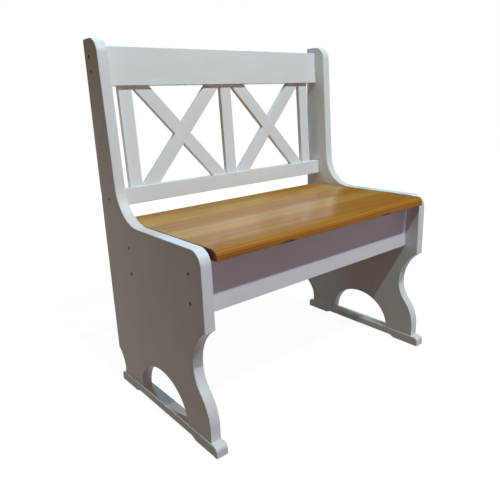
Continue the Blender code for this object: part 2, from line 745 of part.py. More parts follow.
def build_bench():
    """Every piece of the bench, in the order in which it is put together."""
    frame = add_back_frame()
    rails = [
        add_rail("back_lower_rail", 0.0, LOWER_RAIL_HEIGHT, LOWER_RAIL_HEIGHT, frame),
        add_rail("back_top_rail", TOP_RAIL_FOOT, TOP_RAIL_HEIGHT, TOP_RAIL_FOOT, frame),
    ]
    for name, x in (("left", -OUTER_STILE_X), ("centre", 0.0), ("right", OUTER_STILE_X)):
        add_stile(f"back_{name}_stile", x, frame)
    for name, span in bay_spans().items():
        add_bar(f"back_{name}_rising_bar", span, True, name == "left", frame)
        add_bar(f"back_{name}_falling_bar", span, False, name == "right", frame)

    aprons = [add_apron("front_apron", FRONT_APRON_DEPTH), add_apron("rear_apron", REAR_APRON_DEPTH)]
    staves = add_seat()
    front_cleat_depth = FRONT_APRON_DEPTH - APRON_THICKNESS - FIT_GAP
    rear_cleat_depth = REAR_APRON_DEPTH + FIT_GAP + CLEAT_SECTION
    cleats = [
        add_cleat("front_seat_cleat", front_cleat_depth),
        add_cleat("rear_seat_cleat", rear_cleat_depth),
    ]
    cleat_holes = add_screws(
        "seat_cleat_screw",
        cleat_screw_frames(front_cleat_depth, rear_cleat_depth),
        CLEAT_SCREW_LENGTH,
        CLEAT_SCREW_SHANK_RADIUS,
        CLEAT_SCREW_HEAD_RADIUS,
    )
    for piece in cleats + aprons + staves:
        combine(piece, cleat_holes, "DIFFERENCE")

    screw_size = (SCREW_LENGTH, SCREW_SHANK_RADIUS, SCREW_HEAD_RADIUS)
    for name, side in (("left", -1), ("right", 1)):
        panel = add_panel(f"{name}_side_panel", side)
        runner = add_runner(f"{name}_foot_runner", side)
        panel_holes = add_screws(f"{name}_panel_screw", panel_screw_frames(side, frame), *screw_size)
        runner_holes = add_screws(f"{name}_runner_screw", runner_screw_frames(side), *screw_size)
        for piece in [panel] + rails + aprons:
            combine(piece, panel_holes, "DIFFERENCE")
        for piece in (panel, runner):
            combine(piece, runner_holes, "DIFFERENCE")


build_bench()
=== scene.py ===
import logging
import math
from contextlib import contextmanager
from dataclasses import dataclass, field
from enum import Enum, auto
from functools import reduce
from typing import Callable, Iterator, Union

import bmesh
import bpy
from mathutils import Matrix, Vector


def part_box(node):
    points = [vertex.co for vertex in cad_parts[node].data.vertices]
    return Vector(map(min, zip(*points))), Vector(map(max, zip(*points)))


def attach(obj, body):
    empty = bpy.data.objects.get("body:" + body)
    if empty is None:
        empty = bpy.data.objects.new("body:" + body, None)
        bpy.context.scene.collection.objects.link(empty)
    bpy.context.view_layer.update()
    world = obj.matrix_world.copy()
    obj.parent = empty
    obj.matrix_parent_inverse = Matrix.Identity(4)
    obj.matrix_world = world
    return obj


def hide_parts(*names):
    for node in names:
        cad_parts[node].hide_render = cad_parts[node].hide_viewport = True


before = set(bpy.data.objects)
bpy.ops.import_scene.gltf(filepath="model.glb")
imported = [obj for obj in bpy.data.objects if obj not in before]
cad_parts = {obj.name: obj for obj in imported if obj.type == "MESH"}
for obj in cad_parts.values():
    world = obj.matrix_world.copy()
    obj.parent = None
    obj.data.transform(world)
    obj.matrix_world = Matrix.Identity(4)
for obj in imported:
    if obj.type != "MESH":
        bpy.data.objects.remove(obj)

Colour = tuple[float, float, float]
Triple = tuple[float, float, float]
Pair = tuple[float, float]
Stops = tuple[tuple[float, Colour], ...]
Edge = bmesh.types.BMEdge
Node = bpy.types.Node
Piece = bpy.types.Object
Socket = bpy.types.NodeSocket
Feed = Union[Socket, float, tuple]

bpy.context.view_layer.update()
LOG = logging.getLogger("pine_bench")

ARC_STEP = math.radians(4.0)
SHARP = 0.5
ARRIS_FACETS = 3
SMALL_ARRIS_FACETS = 2
ROUND_FACETS = 32
ARCH_FACETS = 128
CUT_OVERRUN = 0.004
NEAR = 0.0001
MERGE = 0.00001
TOUCH = 0.000001
ALONG_X = Vector((1.0, 0.0, 0.0))
ALONG_Y = Vector((0.0, 1.0, 0.0))
ALONG_Z = Vector((0.0, 0.0, 1.0))

PANEL_SCREWS = 7
RUNNER_SCREWS = 4
CLEAT_SCREWS_ACROSS = 3
CLEAT_SCREWS_UP = 2


class Element(Enum):
    """What is picked in edit mode, with the name of its list in the mesh."""

    EDGE = "edges"
    FACE = "faces"


class Named(Enum):
    """Choice with a plain name."""

    @property
    def word(self) -> str:
        """Plain name of the choice."""
        return self.name.lower()


class Side(Named):
    """End of the bench, with the sign of its X."""

    LEFT = -1
    RIGHT = 1


class Place(Named):
    """Apron and cleat under the seat, with the sign of Y from the apron to the inside."""

    FRONT = 1
    REAR = -1


class Lean(Named):
    """Way that a cross bar of the back runs, seen from the front."""

    RISING = auto()
    FALLING = auto()


# Hand tools


class Hand:
    """Modelling operators as they are used by hand, on one piece at a time."""

    @staticmethod
    def clear() -> None:
        """Deselect every object."""
        bpy.ops.object.select_all(action="DESELECT")

    @staticmethod
    def apply() -> None:
        """Settle the place, turn and scale of the piece in hand into its mesh."""
        bpy.ops.object.transform_apply(location=True, rotation=True, scale=True)

    @staticmethod
    def extrude(move: Vector) -> None:
        """Draw out what is selected in edit mode."""
        bpy.ops.mesh.extrude_region_move(TRANSFORM_OT_translate={"value": move})

    @staticmethod
    def take(piece: Piece) -> None:
        """Make one piece the only selected and the active object.

        Args:
            piece: The piece to take in hand.
        """
        Hand.clear()
        piece.select_set(True)
        bpy.context.view_layer.objects.active = piece

    @staticmethod
    @contextmanager
    def editing(piece: Piece) -> Iterator[None]:
        """Edit mode on one piece for the length of a with block.

        Args:
            piece: The piece to edit.
        """
        Hand.take(piece)
        bpy.ops.object.mode_set(mode="EDIT")
        yield
        bpy.ops.object.mode_set(mode="OBJECT")

    @staticmethod
    def pick(piece: Piece, element: Element, wanted: Callable[..., bool]) -> None:
        """Select the edges or faces of a piece in edit mode that a test wants.

        Args:
            piece: The piece being edited.
            element: Kind of element to select.
            wanted: Test of one element.
        """
        bpy.ops.mesh.select_mode(type=element.name)
        bpy.ops.mesh.select_all(action="DESELECT")
        shape = bmesh.from_edit_mesh(piece.data)
        for item in getattr(shape, element.value):
            if wanted(item):
                item.select_set(True)
        bmesh.update_edit_mesh(piece.data)

    @staticmethod
    def block(name: str, low: Vector, high: Vector) -> Piece:
        """Board sawn to a box.

        Args:
            name: Name of the piece.
            low: Lowest corner of the box.
            high: Highest corner of the box.

        Returns:
            The new piece, at the origin with its place in its mesh.
        """
        Hand.clear()
        bpy.ops.mesh.primitive_cube_add(size=1.0, location=(low + high) / 2, scale=high - low)
        piece = bpy.context.object
        piece.name = name
        Hand.apply()
        return piece

    @staticmethod
    def peg(radius: float, foot: float, top: float) -> Piece:
        """Round peg on the Z axis.

        Args:
            radius: Radius of the peg.
            foot: Height of its lower end.
            top: Height of its upper end.

        Returns:
            The new piece, at the origin with its place in its mesh.
        """
        Hand.clear()
        bpy.ops.mesh.primitive_cylinder_add(
            vertices=ROUND_FACETS, radius=radius, depth=top - foot, location=(0.0, 0.0, (top + foot) / 2),
        )
        piece = bpy.context.object
        Hand.apply()
        return piece

    @staticmethod
    def ease(piece: Piece, width: float, facets: int, wanted: Callable[..., bool]) -> None:
        """Round over the edges of a piece that a test wants.

        Args:
            piece: The piece to work.
            width: Width of the rounding.
            facets: Facets of the rounding.
            wanted: Test of one edge.
        """
        with Hand.editing(piece):
            Hand.pick(piece, Element.EDGE, wanted)
            bpy.ops.mesh.bevel(offset_type="OFFSET", offset=width, segments=facets, affect="EDGES")

    @staticmethod
    def carve(piece: Piece, cutter: Piece) -> None:
        """Cut one solid out of a piece and clear the cutter away.

        Args:
            piece: The piece to cut.
            cutter: Solid that is taken out of it.
        """
        modifier = piece.modifiers.new("cut", "BOOLEAN")
        modifier.operation = "DIFFERENCE"
        modifier.solver = "EXACT"
        modifier.object = cutter
        Hand.take(piece)
        bpy.ops.object.modifier_apply(modifier=modifier.name)
        bpy.data.objects.remove(cutter, do_unlink=True)

    @staticmethod
    def tenon(piece: Piece, outward: Vector, scale: Vector, length: float) -> None:
        """Draw a tenon out of an end of a piece.

        Args:
            piece: The piece with the end.
            outward: Direction that the end looks in.
            scale: Size of the tenon's section over that of the end, per axis.
            length: Length of the tenon.
        """
        with Hand.editing(piece):
            Hand.pick(piece, Element.FACE, lambda face: face.normal.dot(outward) > 0.999)
            Hand.extrude(Vector((0.0, 0.0, 0.0)))
            bpy.ops.transform.resize(value=scale)
            Hand.extrude(outward * length)

    @staticmethod
    def place(piece: Piece, matrix: Matrix) -> None:
        """Move a piece and settle the move into its mesh.

        Args:
            piece: The piece to move.
            matrix: Where it goes.
        """
        Hand.take(piece)
        piece.matrix_world = matrix
        Hand.apply()

    @staticmethod
    def copy(piece: Piece, name: str) -> Piece:
        """Copy of a piece with a mesh of its own.

        Args:
            piece: The piece to copy.
            name: Name of the copy.

        Returns:
            The copy.
        """
        Hand.take(piece)
        bpy.ops.object.duplicate(linked=False)
        twin = bpy.context.object
        twin.name = name
        return twin

    @staticmethod
    def finish(piece: Piece, angle: float = math.radians(38.0)) -> None:
        """Clean a mesh, turn its faces outward and smooth its rounded edges.

        Args:
            piece: The piece to finish.
            angle: Edges flatter than this are shaded smooth.
        """
        with Hand.editing(piece):
            bpy.ops.mesh.select_all(action="SELECT")
            bpy.ops.mesh.remove_doubles(threshold=MERGE)
            bpy.ops.mesh.normals_make_consistent(inside=False)
        bpy.ops.object.shade_smooth_by_angle(angle=angle, keep_sharp_edges=True)
        modifier = piece.modifiers.new("even shading", "WEIGHTED_NORMAL")
        modifier.keep_sharp = True
        bpy.ops.object.modifier_apply(modifier=modifier.name)


class Pen:
    """Draws a flat outline with one vertex, extruded along lines and spun round arcs."""

    def __init__(self, name: str, start: Vector, axis: Vector) -> None:
        """Put the pen down.

        Args:
            name: Name of the piece that the outline becomes.
            start: First point.
            axis: Normal of the plane that is drawn in.
        """
        Hand.clear()
        bpy.ops.mesh.primitive_plane_add(size=0.01)
        self.piece: Piece = bpy.context.object
        self.piece.name = name
        self.axis = axis
        self.at = start.copy()
        bpy.ops.object.mode_set(mode="EDIT")
        bpy.ops.mesh.select_mode(type="VERT")
        bpy.ops.mesh.select_all(action="SELECT")
        bpy.ops.mesh.merge(type="CENTER")
        bpy.ops.transform.translate(value=start)

    def line(self, end: Vector) -> None:
        """Draw a straight run.

        Args:
            end: Point that it reaches.
        """
        if (end - self.at).length < TOUCH:
            return
        Hand.extrude(end - self.at)
        self.at = end.copy()

    def arc(self, centre: Vector, end: Vector) -> None:
        """Draw the shorter arc round a centre.

        Args:
            centre: Middle of the arc.
            end: Point that it reaches.
        """
        spoke = self.at - centre
        last = end - centre
        turn = spoke.angle(last)
        if spoke.cross(last).dot(self.axis) > 0.0:
            turn = -turn
        steps = max(2, math.ceil(abs(turn) / ARC_STEP))
        bpy.ops.mesh.spin(steps=steps, angle=turn, center=centre, axis=self.axis)
        self.at = end.copy()

    def corner(self, point: Vector, after: Vector, radius: float) -> None:
        """Draw up to a corner and round it.

        Args:
            point: The corner.
            after: Point that the next run heads for.
            radius: Radius of the rounding.
        """
        back = (self.at - point).normalized()
        ahead = (after - point).normalized()
        half = back.angle(ahead) / 2
        reach = radius / math.tan(half)
        centre = point + (back + ahead).normalized() * radius / math.sin(half)
        self.line(point + back * reach)
        self.arc(centre, point + ahead * reach)

    def slab(self, thickness: Vector) -> Piece:
        """Close the outline, fill it and draw it out to a board.

        Args:
            thickness: Direction and length of the board's thickness.

        Returns:
            The board.
        """
        bpy.ops.mesh.select_all(action="SELECT")
        bpy.ops.mesh.remove_doubles(threshold=MERGE)
        bpy.ops.mesh.select_mode(type="EDGE")
        bpy.ops.mesh.select_all(action="SELECT")
        bpy.ops.mesh.edge_face_add()
        bpy.ops.mesh.select_mode(type="FACE")
        bpy.ops.mesh.select_all(action="SELECT")
        Hand.extrude(thickness)
        bpy.ops.mesh.select_all(action="SELECT")
        bpy.ops.mesh.normals_make_consistent(inside=False)
        bpy.ops.object.mode_set(mode="OBJECT")
        return self.piece


def edge_middle(edge: Edge) -> Vector:
    """Middle of an edge."""
    return (edge.verts[0].co + edge.verts[1].co) / 2


def edge_runs(edge: Edge, direction: Vector) -> bool:
    """True for a sharp edge along a direction, either way."""
    run = (edge.verts[1].co - edge.verts[0].co).normalized()
    return abs(run.dot(direction)) > 0.9999 and edge.calc_face_angle(0.0) > SHARP


def edge_on_face(edge: Edge, axis: int, levels: Pair) -> bool:
    """True for a sharp edge that lies in one of two faces of a board.

    Args:
        edge: The edge.
        axis: Index of the axis across the board.
        levels: Places of the two faces on that axis.

    Returns:
        Whether both ends of the edge lie in one of the faces.
    """
    if edge.calc_face_angle(0.0) < SHARP:
        return False
    return any(all(abs(vert.co[axis] - level) < MERGE for vert in edge.verts) for level in levels)


# Finishes


class Graph:
    """Node tree of a material or of the world, built node by node."""

    def __init__(self, owner: Union[bpy.types.Material, bpy.types.World]) -> None:
        """Open the node tree.

        Args:
            owner: Material or world that the tree belongs to.
        """
        owner.use_nodes = True
        self.owner = owner
        self.tree = owner.node_tree
        self.places = self.tree.nodes.new("ShaderNodeTexCoord").outputs

    def feed(self, socket: Socket, value: Feed) -> None:
        """Link a socket or set its value.

        Args:
            socket: Input to feed.
            value: Output to link, or a plain value.
        """
        if isinstance(value, Socket):
            self.tree.links.new(value, socket)
        else:
            socket.default_value = value

    def add(self, kind: str, inputs: dict[Union[str, int], Feed], **settings: object) -> Node:
        """Add a node.

        Args:
            kind: Type of the node.
            inputs: Values or links per input, by name or index.
            settings: Properties of the node.

        Returns:
            The node.
        """
        node = self.tree.nodes.new(kind)
        for key, value in settings.items():
            setattr(node, key, value)
        for key, value in inputs.items():
            self.feed(node.inputs[key], value)
        return node

    def laid(self, scale: Triple, offset: Triple, turn: Triple = (0.0, 0.0, 0.0)) -> Socket:
        """Object coordinates laid along a grain and measured in lengths of its features.

        Args:
            scale: Length of a feature along and across the grain, in metres.
            offset: Shift that sets one piece apart from the next.
            turn: Angles of the grain.

        Returns:
            The coordinates.
        """
        inputs = {"Vector": self.places["Object"], "Location": offset, "Rotation": turn, "Scale": scale}
        return self.add("ShaderNodeMapping", inputs, vector_type="TEXTURE").outputs["Vector"]

    def noise(self, place: Socket, detail: float, roughness: float = 0.5, warp: float = 0.0) -> Socket:
        """Noise with features of one unit.

        Args:
            place: Coordinates.
            detail: Octaves.
            roughness: Weight of the finer octaves.
            warp: Warp of the pattern.

        Returns:
            Value from 0 to 1.
        """
        inputs = {"Vector": place, "Scale": 1.0, "Detail": detail, "Roughness": roughness}
        return self.add("ShaderNodeTexNoise", {**inputs, "Distortion": warp}).outputs["Fac"]

    def math(self, operation: str, first: Feed, second: Feed = 0.0, clamp: bool = False) -> Socket:
        """Arithmetic of two values.

        Args:
            operation: Name of the operation.
            first: First value.
            second: Second value.
            clamp: Keep the result between 0 and 1.

        Returns:
            The result.
        """
        node = self.add("ShaderNodeMath", {0: first, 1: second}, operation=operation, use_clamp=clamp)
        return node.outputs[0]

    def weighed(self, *parts: tuple[Socket, float]) -> Socket:
        """Sum of values, each times its weight.

        Args:
            parts: Values with their weights.

        Returns:
            The sum.
        """
        terms = [self.math("MULTIPLY", value, weight) for value, weight in parts]
        return reduce(lambda first, second: self.math("ADD", first, second), terms)

    def vector(self, operation: str, first: Feed, second: Feed) -> Socket:
        """Arithmetic of two vectors, named by its operation."""
        return self.add("ShaderNodeVectorMath", {0: first, 1: second}, operation=operation).outputs[0]

    def length(self, vector: Socket) -> Socket:
        """Length of a vector."""
        return self.add("ShaderNodeVectorMath", {0: vector}, operation="LENGTH").outputs["Value"]

    def spread(self, value: Socket, low: float, high: float, new_low: float, new_high: float) -> Socket:
        """Value moved smoothly from one range to another and held there.

        Args:
            value: Value to move.
            low: Start of its range.
            high: End of its range.
            new_low: Start of the new range.
            new_high: End of the new range.

        Returns:
            The new value.
        """
        inputs = {"Value": value, "From Min": low, "From Max": high, "To Min": new_low, "To Max": new_high}
        return self.add("ShaderNodeMapRange", inputs, interpolation_type="SMOOTHSTEP").outputs["Result"]

    def blend(self, share: Socket, first: Union[Socket, Colour], second: Union[Socket, Colour]) -> Socket:
        """Mix of two colours.

        Args:
            share: Share of the second colour.
            first: First colour.
            second: Second colour.

        Returns:
            The mixed colour.
        """
        whole = [value if isinstance(value, Socket) else (*value, 1.0) for value in (first, second)]
        return self.add("ShaderNodeMix", {0: share, 6: whole[0], 7: whole[1]}, data_type="RGBA").outputs[2]

    def choose(self, share: Socket, first: Socket, second: Socket) -> Socket:
        """Mix of two shaders, by the share of the second."""
        return self.add("ShaderNodeMixShader", {0: share, 1: first, 2: second}).outputs[0]

    def surface(self, inputs: dict[str, Feed]) -> None:
        """Feed inputs of the material's own shader, by name."""
        for name, value in inputs.items():
            self.feed(self.tree.nodes["Principled BSDF"].inputs[name], value)

    def relief(self, height: Socket, depth: float, strength: float) -> None:
        """Fine relief of the surface.

        Args:
            height: Height of the relief from 0 to 1.
            depth: Depth in metres.
            strength: Weight of the relief.
        """
        inputs = {"Height": height, "Distance": depth, "Strength": strength}
        self.surface({"Normal": self.add("ShaderNodeBump", inputs).outputs["Normal"]})

    def give(self, piece: Piece) -> None:
        """Make this the only material of a piece."""
        piece.data.materials.clear()
        piece.data.materials.append(self.owner)


def grain_turn(grain: Vector) -> Triple:
    """Angles that lay the first axis of a pattern along a grain."""
    return tuple(ALONG_X.rotation_difference(grain).to_euler())


@dataclass(frozen=True)
class SatinPaint:
    """White satin paint, brushed on along the grain of the pine below it."""

    shade: Colour = (0.735, 0.735, 0.73)
    light: Colour = (0.775, 0.775, 0.772)
    roughness: Pair = (0.36, 0.47)
    gloss: float = 0.35
    brush_mark: Triple = (0.16, 0.0021, 0.0021)
    fibre: Triple = (0.42, 0.0075, 0.0075)
    cloud: Triple = (0.11, 0.05, 0.05)
    peel: Triple = (0.0011, 0.0011, 0.0011)
    relief_depth: float = 0.0002

    def dress(self, piece: Piece, grain: Vector, seed: float) -> None:
        """Paint a piece.

        Args:
            piece: The piece to paint.
            grain: Direction of its grain.
            seed: Shift of the pattern.
        """
        graph = Graph(bpy.data.materials.new(piece.name + "_paint"))
        turn = grain_turn(grain)
        offset = (seed * 0.37, seed * 0.21, seed * 0.13)
        brush = graph.noise(graph.laid(self.brush_mark, offset, turn), 3.0, 0.55)
        fibres = graph.noise(graph.laid(self.fibre, offset, turn), 4.0, 0.6, 0.4)
        clouds = graph.noise(graph.laid(self.cloud, offset, turn), 2.0)
        peel = graph.noise(graph.laid(self.peel, offset), 2.0)
        tone = graph.spread(graph.weighed((brush, 0.45), (clouds, 0.55)), 0.32, 0.68, 0.0, 1.0)
        graph.surface({
            "Base Color": graph.blend(tone, self.shade, self.light),
            "Roughness": graph.spread(brush, 0.3, 0.7, *self.roughness),
            "Specular IOR Level": self.gloss,
        })
        graph.relief(graph.weighed((brush, 0.5), (fibres, 0.6), (peel, 0.2)), self.relief_depth, 0.32)
        graph.give(piece)


@dataclass(frozen=True)
class Knot:
    """Dark lens-shaped mark in a board, an egg round a place."""

    centre: Triple
    radii: Triple

    def mark(self, graph: Graph, fibres: Socket) -> Socket:
        """Share of the mark's dark colour, frayed along the fibres.

        Args:
            graph: Material under work.
            fibres: Fibres of the wood.

        Returns:
            Value from 0 outside the mark to nearly 1 in it.
        """
        reach = graph.length(graph.laid(self.radii, self.centre))
        fray = graph.math("MULTIPLY", graph.math("SUBTRACT", fibres, 0.5), 0.5)
        return graph.spread(graph.math("ADD", reach, fray), 0.7, 1.1, 0.92, 0.0)


@dataclass(frozen=True, kw_only=True)
class Pine:
    """Pine cut along its length: growth rings round a pith line, fibres, darker end grain and dark
    lens-shaped marks.
    """

    early: Colour
    late: Colour
    end: Colour
    pith: Pair
    ring: float
    seed: float
    roughness: Pair
    oil: float = 0.0
    lines: float = 0.5
    tone_shift: float = -0.705
    knots: tuple[Knot, ...] = ()
    # Colour of the dark lens-shaped marks.
    knot_colour: Colour = (0.06, 0.013, 0.004)
    fibre: Triple = (0.07, 0.0007, 0.0007)
    streak: Triple = (0.55, 0.0075, 0.0075)
    cloud: Triple = (0.22, 0.035, 0.035)
    drift: Triple = (0.5, 0.09, 0.09)
    sway: Triple = (0.0, 0.022, 0.022)
    oil_roughness: float = 0.22
    relief_depth: float = 0.00012

    def rings(self, graph: Graph) -> Socket:
        """Share of dark late wood.

        Args:
            graph: Material under work.

        Returns:
            Value from 0 in early wood to 1 in late wood.
        """
        offset = (self.seed * 0.61, self.seed * 0.17, self.seed * 0.29)
        inputs = {"Vector": graph.laid(self.drift, offset), "Scale": 1.0, "Detail": 2.0}
        drift = graph.add("ShaderNodeTexNoise", inputs).outputs["Color"]
        sway = graph.vector("MULTIPLY", graph.vector("SUBTRACT", drift, (0.5, 0.5, 0.5)), self.sway)
        place = graph.vector("ADD", graph.places["Object"], sway)
        place = graph.vector("SUBTRACT", place, (0.0, *self.pith))
        reach = graph.length(graph.vector("MULTIPLY", place, (0.0, 1.0, 1.0)))
        years = graph.math("DIVIDE", reach, self.ring)
        season = graph.math("FRACT", years)
        year = graph.math("FLOOR", years)
        weight = graph.add("ShaderNodeTexWhiteNoise", {"W": year}, noise_dimensions="1D").outputs["Value"]
        rise = graph.spread(season, 0.25, 0.9, 0.0, 1.0)
        fall = graph.spread(season, 0.92, 1.0, 1.0, 0.0)
        late = graph.math("MULTIPLY", rise, fall)
        return graph.math("MULTIPLY", late, graph.spread(weight, 0.0, 1.0, 0.35, 1.0))

    def dress(self, piece: Piece) -> None:
        """Give a piece this wood, grain along X.

        Args:
            piece: The piece to dress.
        """
        graph = Graph(bpy.data.materials.new(piece.name + "_wood"))
        offset = (self.seed * 0.43, self.seed * 0.31, self.seed * 0.11)
        late = self.rings(graph)
        fibres = graph.noise(graph.laid(self.fibre, offset), 4.0, 0.6)
        streaks = graph.noise(graph.laid(self.streak, offset), 3.0, 0.55)
        clouds = graph.noise(graph.laid(self.cloud, offset), 2.0)
        figure = graph.weighed((late, self.lines), (fibres, 0.4), (streaks, 1.0), (clouds, 0.45))
        colour = graph.blend(graph.math("ADD", figure, self.tone_shift, clamp=True), self.early, self.late)
        normal = graph.add("ShaderNodeNewGeometry", {}).outputs["True Normal"]
        facing = graph.add("ShaderNodeSeparateXYZ", {0: normal}).outputs
        ends = graph.spread(graph.math("ABSOLUTE", facing["X"]), 0.55, 0.95, 0.0, 0.85)
        colour = graph.blend(ends, colour, self.end)
        rounded = graph.spread(facing["Z"], 0.7, 0.985, 0.75, 0.0)
        dry = graph.math("MAXIMUM", ends, rounded)
        # Each dark lens-shaped mark darkens the colour and dulls the finish where it lies.
        for dark_mark in self.knots:
            mark = dark_mark.mark(graph, fibres)
            colour = graph.blend(mark, colour, self.knot_colour)
            dry = graph.math("MAXIMUM", dry, mark)
        rough = graph.spread(streaks, 0.3, 0.7, *self.roughness)
        rough = graph.math("ADD", rough, graph.math("MULTIPLY", dry, 0.35), clamp=True)
        graph.surface({"Base Color": colour, "Roughness": rough})
        if self.oil:
            graph.surface({
                "Coat Weight": graph.spread(dry, 0.0, 0.85, self.oil, 0.0),
                "Coat Roughness": self.oil_roughness,
                "Specular IOR Level": 0.15 + 0.4 * self.oil,
            })
        graph.relief(graph.weighed((late, 0.45), (fibres, 0.6)), self.relief_depth, 0.3)
        graph.give(piece)


@dataclass(frozen=True, kw_only=True)
class OiledPine(Pine):
    """Pine under honey-coloured oil."""

    end: Colour = (0.13, 0.058, 0.03)
    roughness: Pair = (0.3, 0.4)


@dataclass(frozen=True, kw_only=True)
class BarePine(Pine):
    """Planed pine with no finish."""

    early: Colour = (0.62, 0.44, 0.25)
    late: Colour = (0.46, 0.27, 0.12)
    end: Colour = (0.5, 0.32, 0.16)
    pith: Pair = (0.02, 0.33)
    ring: float = 0.0031
    roughness: Pair = (0.55, 0.7)


@dataclass(frozen=True)
class PlatedSteel:
    """Dark plating of the screws, rubbed brighter in places."""

    dull: Colour = (0.035, 0.03, 0.026)
    rubbed: Colour = (0.16, 0.145, 0.13)
    roughness: Pair = (0.52, 0.34)
    rub_mark: Triple = (0.0012, 0.0012, 0.0012)
    relief_depth: float = 0.0001

    def dress(self, piece: Piece) -> None:
        """Plate a screw.

        Args:
            piece: The screw.
        """
        graph = Graph(bpy.data.materials.new("screw_plating"))
        rub = graph.noise(graph.laid(self.rub_mark, (0.0, 0.0, 0.0)), 3.0)
        graph.surface({
            "Base Color": graph.blend(graph.spread(rub, 0.45, 0.75, 0.0, 1.0), self.dull, self.rubbed),
            "Roughness": graph.spread(rub, 0.3, 0.7, *self.roughness),
            "Metallic": 0.9,
        })
        graph.relief(rub, self.relief_depth, 0.25)
        graph.give(piece)


# Pieces


def hand_over(piece: Piece, slot: str, *nodes: str) -> None:
    """Tie a finished piece to the frame.

    Args:
        piece: The piece.
        slot: Material slot of the record; not used.
        nodes: Nodes that it stands for.
    """
    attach(piece, "root")
    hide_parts(*nodes)
    LOG.info("%s: %d faces", piece.name, len(piece.data.polygons))


@dataclass
class ScrewHole:
    """Counterbored hole for a countersunk screw, from the box of the screw's node."""

    node: str
    outward: Vector
    recess: float = 0.0015
    clearance: float = 0.0003
    sink_share: float = 0.7
    shank_share: float = 0.57

    def __post_init__(self) -> None:
        """Take the screw's length, head and place from the frame."""
        low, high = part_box(self.node)
        size = high - low
        self.length = max(size)
        self.head_radius = sorted(size)[1] / 2
        reach = size.dot(Vector(abs(part) for part in self.outward)) / 2
        self.head_middle = (low + high) / 2 + self.outward * reach

    def frame(self) -> Matrix:
        """Matrix from a screw that looks up at the origin to this one's place."""
        turn = ALONG_Z.rotation_difference(self.outward).to_matrix().to_4x4()
        return Matrix.Translation(self.head_middle) @ turn

    def cutter(self) -> Piece:
        """Solid of the hole: the counterbore, then the way for the shank.

        Returns:
            The solid, in its place.
        """
        radius = self.head_radius + self.clearance
        foot = -self.sink_share * radius - self.clearance
        cutter = Hand.peg(radius, foot, self.recess + CUT_OVERRUN)
        with Hand.editing(cutter):
            Hand.pick(cutter, Element.FACE, lambda face: face.normal.z < -0.9)
            bpy.ops.mesh.inset(thickness=radius * (1.0 - self.shank_share), use_even_offset=True)
            Hand.extrude(ALONG_Z * (-foot - self.length))
        Hand.place(cutter, self.frame())
        return cutter


def numbered_holes(name: str, first: int, count: int, outward: Vector) -> list[ScrewHole]:
    """Holes of screws that are numbered one after the other.

    Args:
        name: Name of the screws' nodes up to the number.
        first: Number of the first screw.
        count: How many there are.
        outward: Direction that their heads look in.

    Returns:
        The holes.
    """
    return [ScrewHole(f"{name}_{number}", outward) for number in range(first, first + count)]


def panel_holes(side: Side) -> list[ScrewHole]:
    """Holes through the outer face of a panel."""
    return numbered_holes(f"{side.word}_panel_screw", 1, PANEL_SCREWS, ALONG_X * side.value)


def runner_holes(side: Side) -> list[ScrewHole]:
    """Holes up from the underside of a runner."""
    return numbered_holes(f"{side.word}_runner_screw", 1, RUNNER_SCREWS, -ALONG_Z)


def cleat_holes(place: Place) -> list[ScrewHole]:
    """Holes of a seat cleat: some across into the apron, then some up into the seat.

    Args:
        place: Cleat at the front or at the rear.

    Returns:
        The holes.
    """
    first = 1 if place is Place.FRONT else 1 + CLEAT_SCREWS_ACROSS + CLEAT_SCREWS_UP
    across = numbered_holes("seat_cleat_screw", first, CLEAT_SCREWS_ACROSS, ALONG_Y * place.value)
    upward = numbered_holes("seat_cleat_screw", first + CLEAT_SCREWS_ACROSS, CLEAT_SCREWS_UP, -ALONG_Z)
    return across + upward


def drill(piece: Piece, holes: list[ScrewHole]) -> None:
    """Drill the holes of a piece's screws."""
    for hole in holes:
        Hand.carve(piece, hole.cutter())


